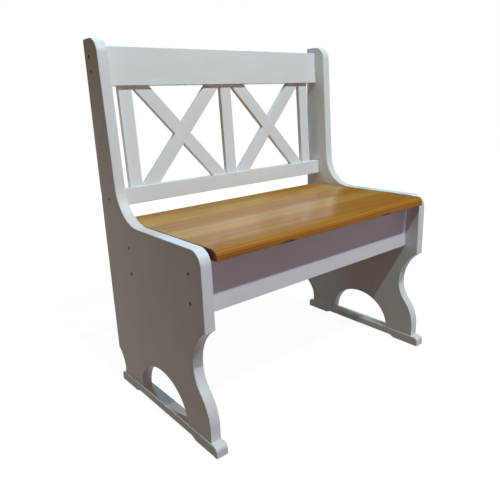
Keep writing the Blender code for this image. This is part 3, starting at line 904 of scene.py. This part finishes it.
@dataclass
class SidePanel:
    """Shaped plank end: raked upright, lap curve, arm, scooped front, arch and scooped rear foot."""

    side: Side
    paint: SatinPaint
    rake: float = math.radians(3.0)
    upright_top_width: float = 0.0705
    upright_corner: float = 0.036
    rear_corner: float = 0.006
    arm_height: float = 0.4675
    lap_radius: float = 0.095
    arm_corner: float = 0.034
    tip_height: float = 0.292
    scoop_depth: float = 0.056
    scoop_height: float = 0.194
    scoop_lower_radius: float = 0.086
    foot_inset: float = 0.004
    foot_shoulder: float = 0.060
    rear_kink: float = 0.096
    rear_foot_inset: float = 0.028
    rear_foot_shoulder: float = 0.042
    arch_centre: float = 0.237
    arch_width: float = 0.220
    arch_rise: float = 0.0945
    arris: float = 0.0015

    def __post_init__(self) -> None:
        """Take the panel's box from the frame."""
        self.node = f"{self.side.word}_side_panel"
        self.low, self.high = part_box(self.node)
        self.thickness = self.high.x - self.low.x

    def at(self, depth: float, height: float) -> Vector:
        """Point of the outline at a depth from the rear edge and a height."""
        return Vector((self.low.x, self.high.y - depth, height))

    def upright_width(self, height: float) -> float:
        """Depth of the raked front edge of the upright at a height."""
        return self.upright_top_width + (self.high.z - height) * math.tan(self.rake)

    def sawn(self) -> Piece:
        """Saw the outline.

        Returns:
            The board with its shaped edge.
        """
        top = self.high.z
        base = self.low.z
        front = self.high.y - self.low.y
        kink = self.at(0.0, self.rear_kink)
        top_front = self.at(self.upright_top_width, top)
        lap = self.at(self.upright_width(self.arm_height), self.arm_height)
        arm = self.at(front, self.arm_height)
        tip = self.at(front, self.tip_height)
        hollow = self.at(front - self.scoop_depth, self.scoop_height)
        shoulder = self.at(front - self.foot_inset, self.foot_shoulder)
        drop = self.tip_height - self.scoop_height
        upper = hollow - ALONG_Y * (self.scoop_depth ** 2 + drop ** 2) / (2 * self.scoop_depth)
        lower_radius = self.scoop_lower_radius
        lower = hollow - ALONG_Y * lower_radius
        offset = lower - shoulder
        foot_radius = (offset.length_squared - lower_radius ** 2) / (2 * (lower_radius + offset.y))
        foot = shoulder + ALONG_Y * foot_radius
        turning = lower + (foot - lower).normalized() * lower_radius
        rear_rise = self.rear_kink - self.rear_foot_shoulder
        rear_radius = (self.rear_foot_inset ** 2 + rear_rise ** 2) / (2 * self.rear_foot_inset)
        rear_shoulder = self.at(self.rear_foot_inset, self.rear_foot_shoulder)
        pen = Pen(f"{self.side.word}_end", kink, ALONG_X)
        pen.corner(self.at(0.0, top), top_front, self.rear_corner)
        pen.corner(top_front, lap, self.upright_corner)
        pen.corner(lap, arm, self.lap_radius)
        pen.corner(arm, tip, self.arm_corner)
        pen.line(tip)
        pen.arc(upper, hollow)
        pen.arc(lower, turning)
        pen.arc(foot, shoulder)
        pen.line(self.at(front - self.foot_inset, base))
        pen.line(self.at(self.rear_foot_inset, base))
        pen.line(rear_shoulder)
        pen.arc(rear_shoulder + ALONG_Y * rear_radius, kink)
        return pen.slab(ALONG_X * self.thickness)

    def arch(self) -> Piece:
        """Solid of the arch between the feet, a flattened cylinder.

        Returns:
            The solid, in its place.
        """
        Hand.clear()
        middle = self.at(self.arch_centre, self.low.z)
        middle.x = (self.low.x + self.high.x) / 2
        bpy.ops.mesh.primitive_cylinder_add(
            vertices=ARCH_FACETS, radius=1.0, depth=1.0, location=middle, rotation=(0.0, math.pi / 2, 0.0),
        )
        cutter = bpy.context.object
        cutter.scale = (self.arch_rise, self.arch_width / 2, self.thickness + 2 * CUT_OVERRUN)
        Hand.apply()
        return cutter

    def build(self) -> None:
        """Saw, arch, ease, drill and paint the panel."""
        panel = self.sawn()
        Hand.carve(panel, self.arch())
        faces = (self.low.x, self.high.x)
        base = self.low.z + MERGE
        Hand.ease(
            panel, self.arris, ARRIS_FACETS,
            lambda edge: edge_on_face(edge, 0, faces) and max(vert.co.z for vert in edge.verts) > base,
        )
        drill(panel, panel_holes(self.side))
        Hand.finish(panel)
        self.paint.dress(panel, ALONG_Z, 3.0 + self.side.value)
        hand_over(panel, "white_paint", self.node)


@dataclass
class FootRunner:
    """Runner under a panel, with rounded top ends and pads left by a relieved underside."""

    side: Side
    paint: SatinPaint
    end_radius: float = 0.011
    pad: float = 0.084
    relief: float = 0.0065
    relief_slope: float = 0.016
    arris: float = 0.0015

    def build(self) -> None:
        """Saw, ease, drill and paint the runner."""
        node = f"{self.side.word}_foot_runner"
        low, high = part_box(node)

        def at(y: float, z: float) -> Vector:
            """Point of the outline."""
            return Vector((low.x, y, z))

        pen = Pen(f"{self.side.word}_runner", at(high.y, 0.0), ALONG_X)
        pen.corner(at(high.y, high.z), at(low.y, high.z), self.end_radius)
        pen.corner(at(low.y, high.z), at(low.y, 0.0), self.end_radius)
        pen.line(at(low.y, 0.0))
        pen.line(at(low.y + self.pad, 0.0))
        pen.line(at(low.y + self.pad + self.relief_slope, self.relief))
        pen.line(at(high.y - self.pad - self.relief_slope, self.relief))
        pen.line(at(high.y - self.pad, 0.0))
        pen.line(at(high.y, 0.0))
        runner = pen.slab(ALONG_X * (high.x - low.x))
        Hand.ease(runner, self.arris, ARRIS_FACETS, lambda edge: edge_on_face(edge, 0, (low.x, high.x)))
        drill(runner, runner_holes(self.side))
        Hand.finish(runner)
        self.paint.dress(runner, ALONG_Y, 7.0 + self.side.value)
        hand_over(runner, "white_paint", node)


@dataclass
class BackFrame:
    """Raked back: two rails, three stiles and a half-lapped cross in each bay.

    It is worked flat in its own frame, X along the bench, Y to the rear and Z up the back, then leaned
    into place.
    """

    panel: SidePanel
    paint: SatinPaint
    foot_height: float = 0.502
    top_drop: float = 0.0165
    setback: float = 0.035
    rail_thickness: float = 0.027
    top_rail_height: float = 0.091
    lower_rail_height: float = 0.042
    stile_width: float = 0.036
    outer_stile_x: float = 0.3113
    bar_width: float = 0.037
    cross_thickness: float = 0.0135
    cross_setback: float = 0.009
    tenon_length: float = 0.0118
    tenon_thickness: float = 0.007
    tenon_width: float = 0.024
    mortise_fit: float = 0.0002
    arris: float = 0.0012

    def __post_init__(self) -> None:
        """Take the length and height from the panel beside the back and the top rail's box."""
        self.half_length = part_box("back_top_rail")[1].x
        self.rise = (self.panel.high.z - self.top_drop - self.foot_height) / math.cos(self.panel.rake)
        self.cross_middle = self.cross_setback + self.cross_thickness / 2
        self.tenon_feet = [-self.outer_stile_x, 0.0, self.outer_stile_x]
        for side in Side:
            left, right = self.bay(side)
            self.tenon_feet += [left + self.bar_foot() / 2, right - self.bar_foot() / 2]

    def lean(self) -> Matrix:
        """Matrix from the frame's own axes to its place on the bench.

        Returns:
            The matrix.
        """
        foot_y = self.panel.high.y - self.panel.upright_width(self.foot_height) + self.setback
        turn = Matrix.Rotation(-self.panel.rake, 4, "X")
        return Matrix.Translation((0.0, foot_y, self.foot_height)) @ turn

    def opening(self) -> Pair:
        """Heights of the lower and the upper end of the opening between the rails."""
        return self.lower_rail_height, self.rise - self.top_rail_height

    def bay(self, side: Side) -> Pair:
        """Left and right end of a bay between stiles.

        Args:
            side: Which bay.

        Returns:
            Places on X.
        """
        inner = self.stile_width / 2
        outer = self.outer_stile_x - self.stile_width / 2
        return (inner, outer) if side is Side.RIGHT else (-outer, -inner)

    def bar_foot(self) -> float:
        """Level width of a bar's end where the bar runs from corner to corner of a bay.

        Returns:
            The width.
        """
        left, right = self.bay(Side.RIGHT)
        foot, head = self.opening()
        width, height, bar = right - left, head - foot, self.bar_width
        swing = bar * math.sqrt(height ** 2 + width ** 2 - bar ** 2)
        return width - height * (width * height - swing) / (height ** 2 - bar ** 2)

    def tenon_both(self, piece: Piece, width: float) -> None:
        """Draw tenons out of the foot and the head of a stile or bar.

        Args:
            piece: The stile or bar.
            width: Level width of its ends.
        """
        scale = Vector((self.tenon_width / width, self.tenon_thickness / self.cross_thickness, 1.0))
        Hand.tenon(piece, ALONG_Z, scale, self.tenon_length)
        Hand.tenon(piece, -ALONG_Z, scale, self.tenon_length)

    def settle(self, piece: Piece, node: str, grain: Vector, seed: float) -> None:
        """Lean a finished piece into place and paint it.

        Args:
            piece: The piece.
            node: Node that it stands for.
            grain: Direction of its grain in the frame's own axes.
            seed: Shift of its paint.
        """
        Hand.finish(piece)
        Hand.place(piece, self.lean())
        self.paint.dress(piece, (self.lean().to_3x3() @ grain).normalized(), seed)
        hand_over(piece, "white_paint", node)

    def rail(self, name: str, foot: float, height: float, mouth: float) -> None:
        """Build a rail.

        Args:
            name: Its name after the word back.
            foot: Height of its lower edge.
            height: Its height.
            mouth: Height of the edge that the mortises open on.
        """
        low = Vector((-self.half_length, 0.0, foot))
        high = Vector((self.half_length, self.rail_thickness, foot + height))
        rail = Hand.block(name, low, high)
        Hand.ease(rail, self.arris, ARRIS_FACETS, lambda edge: edge_runs(edge, ALONG_X))
        reach = Vector((self.tenon_width / 2, self.tenon_thickness / 2, self.tenon_length))
        reach += Vector.Fill(3, self.mortise_fit)
        for x in self.tenon_feet:
            centre = Vector((x, self.cross_middle, mouth))
            Hand.carve(rail, Hand.block("mortise", centre - reach, centre + reach))
        self.settle(rail, "back_" + name, ALONG_X, foot * 20 + 11.0)

    def stile(self, name: str, x: float) -> None:
        """Build an upright stile.

        Args:
            name: Its name after the word back.
            x: Middle of its width.
        """
        foot, head = self.opening()
        half = Vector((self.stile_width / 2, self.cross_thickness / 2, 0.0))
        middle = Vector((x, self.cross_middle, 0.0))
        stile = Hand.block(name, middle - half + ALONG_Z * foot, middle + half + ALONG_Z * head)
        Hand.ease(stile, self.arris, ARRIS_FACETS, lambda edge: edge_runs(edge, ALONG_Z))
        self.tenon_both(stile, self.stile_width)
        self.settle(stile, "back_" + name, ALONG_Z, x * 30 + 17.0)

    def bar_corners(self, side: Side, lean: Lean) -> list[Vector]:
        """Corners of a bar: both at its foot, then both at its head.

        Args:
            side: Bay that the bar stands in.
            lean: Way that it runs.

        Returns:
            Points in the plane of the frame's front.
        """
        left, right = self.bay(side)
        foot, head = self.opening()
        span = self.bar_foot()
        corners = [(left, foot), (left + span, foot), (right, head), (right - span, head)]
        if lean is Lean.FALLING:
            corners = [(left + right - x, z) for x, z in corners]
        return [Vector((x, 0.0, z)) for x, z in corners]

    def bar_slab(self, side: Side, lean: Lean, front: float, rear: float) -> Piece:
        """Plain bar between two depths.

        Args:
            side: Bay that the bar stands in.
            lean: Way that it runs.
            front: Depth of its front face.
            rear: Depth of its rear face.

        Returns:
            The bar.
        """
        corners = [corner + ALONG_Y * front for corner in self.bar_corners(side, lean)]
        pen = Pen(f"{side.word}_{lean.word}_bar", corners[0], ALONG_Y)
        for corner in corners[1:] + corners[:1]:
            pen.line(corner)
        return pen.slab(ALONG_Y * (rear - front))

    def bar(self, side: Side, lean: Lean) -> None:
        """Build a bar of a cross, half-lapped over or under the other bar.

        Args:
            side: Bay that the bar stands in.
            lean: Way that it runs.
        """
        front = self.cross_setback
        rear = front + self.cross_thickness
        other = Lean.FALLING if lean is Lean.RISING else Lean.RISING
        over = (side is Side.LEFT) == (lean is Lean.RISING)
        bar = self.bar_slab(side, lean, front, rear)
        own = self.bar_corners(side, lean)
        along = (own[3] - own[0]).normalized()
        corners = self.bar_corners(side, other)
        across = (corners[3] - corners[0]).normalized().cross(ALONG_Y)
        width = (corners[1] - corners[0]).dot(across)
        with Hand.editing(bar):
            for corner in corners[:2]:
                bpy.ops.mesh.select_all(action="SELECT")
                bpy.ops.mesh.bisect(plane_co=corner, plane_no=across)

        def outside(edge: Edge) -> bool:
            """True for a long arris of the bar away from the crossing."""
            share = (edge_middle(edge) - corners[0]).dot(across) / width
            return edge_runs(edge, along) and not 0.0 < share < 1.0

        Hand.ease(bar, self.arris, ARRIS_FACETS, outside)
        lap = (self.cross_middle, rear + CUT_OVERRUN)
        if not over:
            lap = (front - CUT_OVERRUN, self.cross_middle)
        Hand.carve(bar, self.bar_slab(side, other, *lap))
        self.tenon_both(bar, self.bar_foot())
        seed = side.value * 3 + len(lean.word) + 23.0
        self.settle(bar, f"back_{side.word}_{lean.word}_bar", along, seed)

    def build(self) -> None:
        """Build the rails, stiles and bars."""
        foot, head = self.opening()
        self.rail("lower_rail", 0.0, self.lower_rail_height, foot)
        self.rail("top_rail", head, self.top_rail_height, head)
        self.stile("left_stile", -self.outer_stile_x)
        self.stile("centre_stile", 0.0)
        self.stile("right_stile", self.outer_stile_x)
        for side in Side:
            for lean in Lean:
                self.bar(side, lean)


@dataclass
class Seat:
    """Seat glued from lengthwise staves, with a rounded nosing on the front one."""

    nose_round: float = 0.017
    nose_lower_round: float = 0.0025
    end_arris: float = 0.0012
    rear_arris: float = 0.002
    # Two dark lens-shaped marks painted along the nosing's lower edge, just above the apron.
    nosing_knots: tuple[Knot, ...] = (
        Knot((-0.163, -0.2245, 0.4448), (0.0245, 0.006, 0.0034)),
        Knot((0.194, -0.2245, 0.4448), (0.0235, 0.006, 0.0031)),
    )

    def woods(self) -> list[OiledPine]:
        """Woods of the staves, from the nosing to the rear.

        Returns:
            One wood for each stave.
        """
        return [
            OiledPine(
                early=(0.45, 0.182, 0.015), late=(0.22, 0.066, 0.005), pith=(-0.213, 0.26), ring=0.00515,
                seed=0.9, oil=0.42, lines=0.8, knots=self.nosing_knots,
            ),
            OiledPine(
                early=(0.49, 0.2, 0.012), late=(0.31, 0.104, 0.006), pith=(-0.19, 0.37), ring=0.0041,
                seed=2.6, oil=0.8, lines=0.6,
            ),
            OiledPine(
                early=(0.58, 0.285, 0.036), late=(0.42, 0.178, 0.018), pith=(-0.06, 0.385), ring=0.0036,
                seed=4.3, oil=0.9, lines=0.6,
            ),
            OiledPine(
                early=(0.51, 0.235, 0.02), late=(0.35, 0.138, 0.01), pith=(-0.03, 0.34), ring=0.0030,
                seed=6.0, oil=0.5, lines=0.6,
            ),
            OiledPine(
                early=(0.57, 0.285, 0.034), late=(0.43, 0.19, 0.02), pith=(0.23, 0.30), ring=0.0044,
                seed=7.7, oil=0.6, lines=0.5,
            ),
            OiledPine(
                early=(0.54, 0.25, 0.027), late=(0.34, 0.135, 0.012), pith=(0.12, 0.30), ring=0.0033,
                seed=9.4, oil=0.5, lines=0.6,
            ),
        ]

    def nosing(self, node: str, rear: float) -> Piece:
        """Front stave with its round-over.

        Args:
            node: Node that it stands for.
            rear: Place of its rear edge.

        Returns:
            The stave.
        """
        low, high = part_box(node)

        def at(y: float, z: float) -> Vector:
            """Point of the profile."""
            return Vector((low.x, y, z))

        pen = Pen("nosing", at(rear, low.z), ALONG_X)
        pen.line(at(rear, high.z))
        pen.corner(at(low.y, high.z), at(low.y, low.z), self.nose_round)
        pen.corner(at(low.y, low.z), at(rear, low.z), self.nose_lower_round)
        pen.line(at(rear, low.z))
        nosing = pen.slab(ALONG_X * (high.x - low.x))
        Hand.ease(
            nosing, self.end_arris, SMALL_ARRIS_FACETS,
            lambda edge: edge_on_face(edge, 0, (low.x, high.x)) and edge_middle(edge).y < rear - NEAR,
        )
        return nosing

    def stave(self, node: str, rear: float) -> Piece:
        """Flat stave.

        Args:
            node: Node that it stands for.
            rear: Place of its rear edge.

        Returns:
            The stave.
        """
        low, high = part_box(node)
        high.y = rear
        stave = Hand.block(node.replace("seat_", ""), low, high)
        Hand.ease(stave, self.end_arris, SMALL_ARRIS_FACETS, lambda edge: edge_runs(edge, ALONG_Y))
        return stave

    def build(self) -> None:
        """Build the nosing and the flat staves."""
        woods = self.woods()
        nodes = ["seat_nosing_stave"] + [f"seat_stave_{number}" for number in range(2, len(woods) + 1)]
        rears = [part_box(node)[0].y for node in nodes[1:]] + [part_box(nodes[-1])[1].y]
        for node, rear, wood in zip(nodes, rears, woods):
            stave = self.nosing(node, rear) if node == nodes[0] else self.stave(node, rear)
            if node == nodes[-1]:
                Hand.ease(
                    stave, self.rear_arris, ARRIS_FACETS,
                    lambda edge: edge_runs(edge, ALONG_X) and edge_middle(edge).y > rear - NEAR,
                )
            Hand.finish(stave)
            wood.dress(stave)
            hand_over(stave, "oiled_pine", node)


@dataclass
class SeatSupport:
    """Aprons under the seat, front and rear, and the cleats in their corners."""

    paint: SatinPaint
    arris: float = 0.0015
    cleat_arris: float = 0.001

    def apron(self, place: Place) -> None:
        """Build an apron.

        Args:
            place: Front or rear.
        """
        node = f"{place.word}_apron"
        apron = Hand.block(f"{place.word}_apron_board", *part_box(node))
        Hand.ease(apron, self.arris, ARRIS_FACETS, lambda edge: edge_runs(edge, ALONG_X))
        Hand.finish(apron)
        self.paint.dress(apron, ALONG_X, 31.0 + len(place.word))
        hand_over(apron, "white_paint", node)

    def cleat(self, place: Place) -> None:
        """Build a cleat and drill it.

        Args:
            place: Front or rear.
        """
        node = f"{place.word}_seat_cleat"
        cleat = Hand.block(f"{place.word}_cleat", *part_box(node))
        Hand.ease(cleat, self.cleat_arris, SMALL_ARRIS_FACETS, lambda edge: edge_runs(edge, ALONG_X))
        drill(cleat, cleat_holes(place))
        Hand.finish(cleat)
        BarePine(seed=4.0 + len(place.word)).dress(cleat)
        hand_over(cleat, "bare_pine", node)

    def build(self) -> None:
        """Build both aprons and both cleats."""
        for place in Place:
            self.apron(place)
            self.cleat(place)


@dataclass
class WoodScrews:
    """Countersunk screws with a cross recess, one pattern of each length, copied to every hole."""

    steel: PlatedSteel
    rim: float = 0.0004
    head_height: float = 0.0028
    shank_share: float = 0.56
    tip: float = 0.006
    tip_share: float = 0.08
    recess_share: float = 0.62
    recess_slot: float = 0.17
    recess_depth: float = 0.0013

    def pattern(self, length: float, radius: float) -> Piece:
        """Screw that looks up at the origin.

        Args:
            length: Length of the screw.
            radius: Radius of its head.

        Returns:
            The screw.
        """
        screw = Hand.peg(radius, -self.rim, 0.0)
        with Hand.editing(screw):
            Hand.pick(screw, Element.FACE, lambda face: face.normal.z < -0.9)
            Hand.extrude(ALONG_Z * (self.rim - self.head_height))
            bpy.ops.transform.resize(value=(self.shank_share, self.shank_share, 1.0))
            Hand.extrude(ALONG_Z * (self.head_height + self.tip - length))
            Hand.extrude(ALONG_Z * -self.tip)
            bpy.ops.transform.resize(value=(self.tip_share, self.tip_share, 1.0))
        reach = radius * self.recess_share
        for x, y in ((reach, reach * self.recess_slot), (reach * self.recess_slot, reach)):
            half = Vector((x, y, self.recess_depth))
            Hand.carve(screw, Hand.block("recess", -half, half))
        Hand.finish(screw, math.radians(30.0))
        self.steel.dress(screw)
        return screw

    def fix(self, holes: list[ScrewHole]) -> None:
        """Put a screw in every hole of one kind.

        Args:
            holes: Holes for screws of one length.
        """
        pattern = self.pattern(holes[0].length, holes[0].head_radius)
        for hole in holes:
            screw = Hand.copy(pattern, hole.node.replace("_screw", "_fixing"))
            Hand.place(screw, hole.frame())
            hand_over(screw, "screw_steel", hole.node)
        bpy.data.objects.remove(pattern, do_unlink=True)

    def build(self) -> None:
        """Fix the long screws of panels and runners, then the short ones of the cleats."""
        self.fix([hole for side in Side for hole in panel_holes(side) + runner_holes(side)])
        self.fix([hole for place in Place for hole in cleat_holes(place)])


# Studio


@dataclass(frozen=True)
class Lamp:
    """Soft rectangular lamp."""

    name: str
    place: Triple
    target: Triple
    size: Pair
    watts: float
    colour: Colour
    mirrored: bool = True

    def hang(self) -> None:
        """Hang the lamp and point it at its target."""
        place = Vector(self.place)
        bpy.ops.object.light_add(type="AREA", location=place)
        lamp = bpy.context.object
        lamp.name = self.name
        lamp.rotation_euler = (place - Vector(self.target)).to_track_quat("Z", "Y").to_euler()
        lamp.data.shape = "RECTANGLE"
        lamp.data.size, lamp.data.size_y = self.size
        lamp.data.energy = self.watts
        lamp.data.color = self.colour
        lamp.visible_glossy = self.mirrored


@dataclass
class Studio:
    """Pale floor, soft lamps and the camera."""

    eye: Vector = field(default_factory=lambda: Vector((-0.9045, -1.0100, 0.7518)))
    yaw: float = math.radians(-38.82)
    pitch: float = math.radians(-15.99)
    roll: float = math.radians(-2.21)
    sensor: float = 36.0
    focal_width: float = 504.5 / 500.0
    sky: Stops = ((0.0, (0.09, 0.053, 0.016)), (1.0, (0.165, 0.122, 0.072)))
    wall: Stops = (
        (0.0, (1.0, 1.0, 1.0)),
        (0.06, (0.25, 0.25, 0.175)),
        (0.35, (0.25, 0.25, 0.175)),
        (0.7, (0.12, 0.1, 0.08)),
    )
    wall_end: Pair = (0.03, 0.15)
    floor_size: float = 16.0
    floor_bounce: Colour = (0.1, 0.052, 0.018)
    floor_shade: Colour = (0.14, 0.14, 0.14)
    floor_reach: Pair = (0.7, 1.9)
    floor_glow: Pair = (0.93, 1.0)
    lamps: tuple[Lamp, ...] = (
        Lamp("left_lamp", (-0.43, -1.9, 3.43), (-0.43, 0.0, 0.45), (0.2, 0.1), 58.0, (0.8, 0.95, 1.0)),
        Lamp("right_lamp", (0.76, -1.9, 3.43), (0.76, 0.0, 0.45), (0.2, 0.1), 55.0, (0.8, 0.95, 1.0)),
        Lamp("rear_left_lamp", (-0.43, 2.0, 4.1), (-0.43, 0.0, 0.4), (0.2, 0.12), 29.0, (0.36, 0.68, 1.0)),
        Lamp("rear_right_lamp", (0.85, 2.0, 4.1), (0.85, 0.0, 0.4), (0.2, 0.12), 51.0, (0.3, 0.67, 1.0)),
        Lamp("fill_lamp", (0.15, -3.2, 1.1), (0.0, 0.0, 0.4), (1.0, 1.2), 11.0, (0.62, 0.54, 1.0), False),
        Lamp("behind_lamp", (0.9, 3.3, 0.1), (0.0, 0.2, 0.45), (1.8, 0.12), 50.0, (1.0, 0.94, 0.89), False),
        Lamp(
            "right_side_lamp", (3.3, 0.1, 0.1), (0.38, 0.0, 0.4), (1.8, 0.12), 34.0, (1.0, 0.95, 0.91),
            mirrored=False,
        ),
    )

    def camera(self) -> None:
        """Put the camera at the photograph's place."""
        heading = Vector((-math.sin(self.yaw), math.cos(self.yaw), 0.0))
        forward = heading * math.cos(self.pitch) + ALONG_Z * math.sin(self.pitch)
        level = Vector((math.cos(self.yaw), math.sin(self.yaw), 0.0))
        upright = level.cross(forward)
        right = math.cos(self.roll) * level + math.sin(self.roll) * upright
        up = math.cos(self.roll) * upright - math.sin(self.roll) * level
        bpy.ops.object.camera_add()
        camera = bpy.context.object
        camera.name = "photo_camera"
        turn = Matrix((right, up, -forward)).transposed().to_4x4()
        camera.matrix_world = Matrix.Translation(self.eye) @ turn
        camera.data.sensor_width = self.sensor
        camera.data.sensor_fit = "HORIZONTAL"
        camera.data.lens = self.sensor * self.focal_width
        camera.data.clip_start = 0.01
        bpy.context.scene.camera = camera

    def rays(self, graph: Graph, *kinds: str) -> Socket:
        """Test for rays of some kinds.

        Args:
            graph: Nodes to add to.
            kinds: Kinds of rays, as the light path names them.

        Returns:
            1 for those rays and 0 for others.
        """
        path = graph.add("ShaderNodeLightPath", {}).outputs
        kept = [path[kind] for kind in kinds]
        return reduce(lambda first, second: graph.math("MAXIMUM", first, second), kept)

    def backdrop(self, graph: Graph, height: Socket, stops: Stops) -> Socket:
        """Background that changes with height.

        Args:
            graph: Nodes of the world.
            height: Height of the view's direction, 0 at the horizon and 1 overhead.
            stops: Colours at rising heights.

        Returns:
            The background's shader.
        """
        ramp = graph.add("ShaderNodeValToRGB", {0: height})
        elements = ramp.color_ramp.elements
        while len(elements) < len(stops):
            elements.new(1.0)
        for element, (place, colour) in zip(elements, stops):
            element.position = place
            element.color = (*colour, 1.0)
        return graph.add("ShaderNodeBackground", {"Color": ramp.outputs[0]}).outputs[0]

    def surroundings(self) -> None:
        """White background to the camera, a pale wall in mirrors and dim warm light to everything else."""
        world = bpy.data.worlds.new("studio")
        bpy.context.scene.world = world
        graph = Graph(world)
        heading = graph.add("ShaderNodeSeparateXYZ", {0: graph.places["Generated"]}).outputs
        white = graph.add("ShaderNodeBackground", {"Color": (1.0, 1.0, 1.0, 1.0)}).outputs[0]
        wall = self.backdrop(graph, heading["Z"], self.wall)
        sky = self.backdrop(graph, heading["Z"], self.sky)
        across = graph.math("SUBTRACT", heading["Y"], heading["X"])
        behind = graph.spread(across, *self.wall_end, 0.0, 1.0)
        mirrored = graph.math("MULTIPLY", behind, self.rays(graph, "Is Glossy Ray"))
        direct = self.rays(graph, "Is Camera Ray", "Is Transmission Ray")
        shader = graph.choose(direct, graph.choose(mirrored, sky, wall), white)
        graph.feed(graph.tree.nodes["World Output"].inputs["Surface"], shader)

    def floor(self) -> None:
        """Pale floor that is white to the camera and keeps a light shadow."""
        Hand.clear()
        bpy.ops.mesh.primitive_plane_add(size=self.floor_size)
        floor = bpy.context.object
        floor.name = "studio_floor"
        graph = Graph(bpy.data.materials.new("pale_floor"))
        graph.tree.nodes.remove(graph.tree.nodes["Principled BSDF"])
        bounce = graph.add("ShaderNodeBsdfDiffuse", {"Color": (*self.floor_bounce, 1.0)}).outputs[0]
        shaded = graph.add("ShaderNodeBsdfDiffuse", {"Color": (*self.floor_shade, 1.0)}).outputs[0]
        strength = graph.spread(graph.length(graph.places["Object"]), *self.floor_reach, *self.floor_glow)
        glow = graph.add("ShaderNodeEmission", {"Strength": strength}).outputs[0]
        seen = graph.add("ShaderNodeAddShader", {0: glow, 1: shaded}).outputs[0]
        direct = self.rays(graph, "Is Camera Ray", "Is Transmission Ray", "Is Glossy Ray")
        shader = graph.choose(direct, bounce, seen)
        graph.feed(graph.tree.nodes["Material Output"].inputs["Surface"], shader)
        graph.give(floor)

    def build(self) -> None:
        """Set the studio up."""
        bpy.context.scene.view_settings.view_transform = "Standard"
        self.surroundings()
        self.floor()
        for lamp in self.lamps:
            lamp.hang()
        self.camera()


def main() -> None:
    """Build the bench piece by piece, then the studio."""
    logging.basicConfig(level=logging.INFO, format="%(name)s %(message)s")
    paint = SatinPaint()
    panels = [SidePanel(side, paint) for side in Side]
    for panel in panels:
        panel.build()
        FootRunner(panel.side, paint).build()
    BackFrame(panels[0], paint).build()
    Seat().build()
    SeatSupport(paint).build()
    WoodScrews(PlatedSteel()).build()
    Studio().build()


if __name__ == "__main__":
    main()
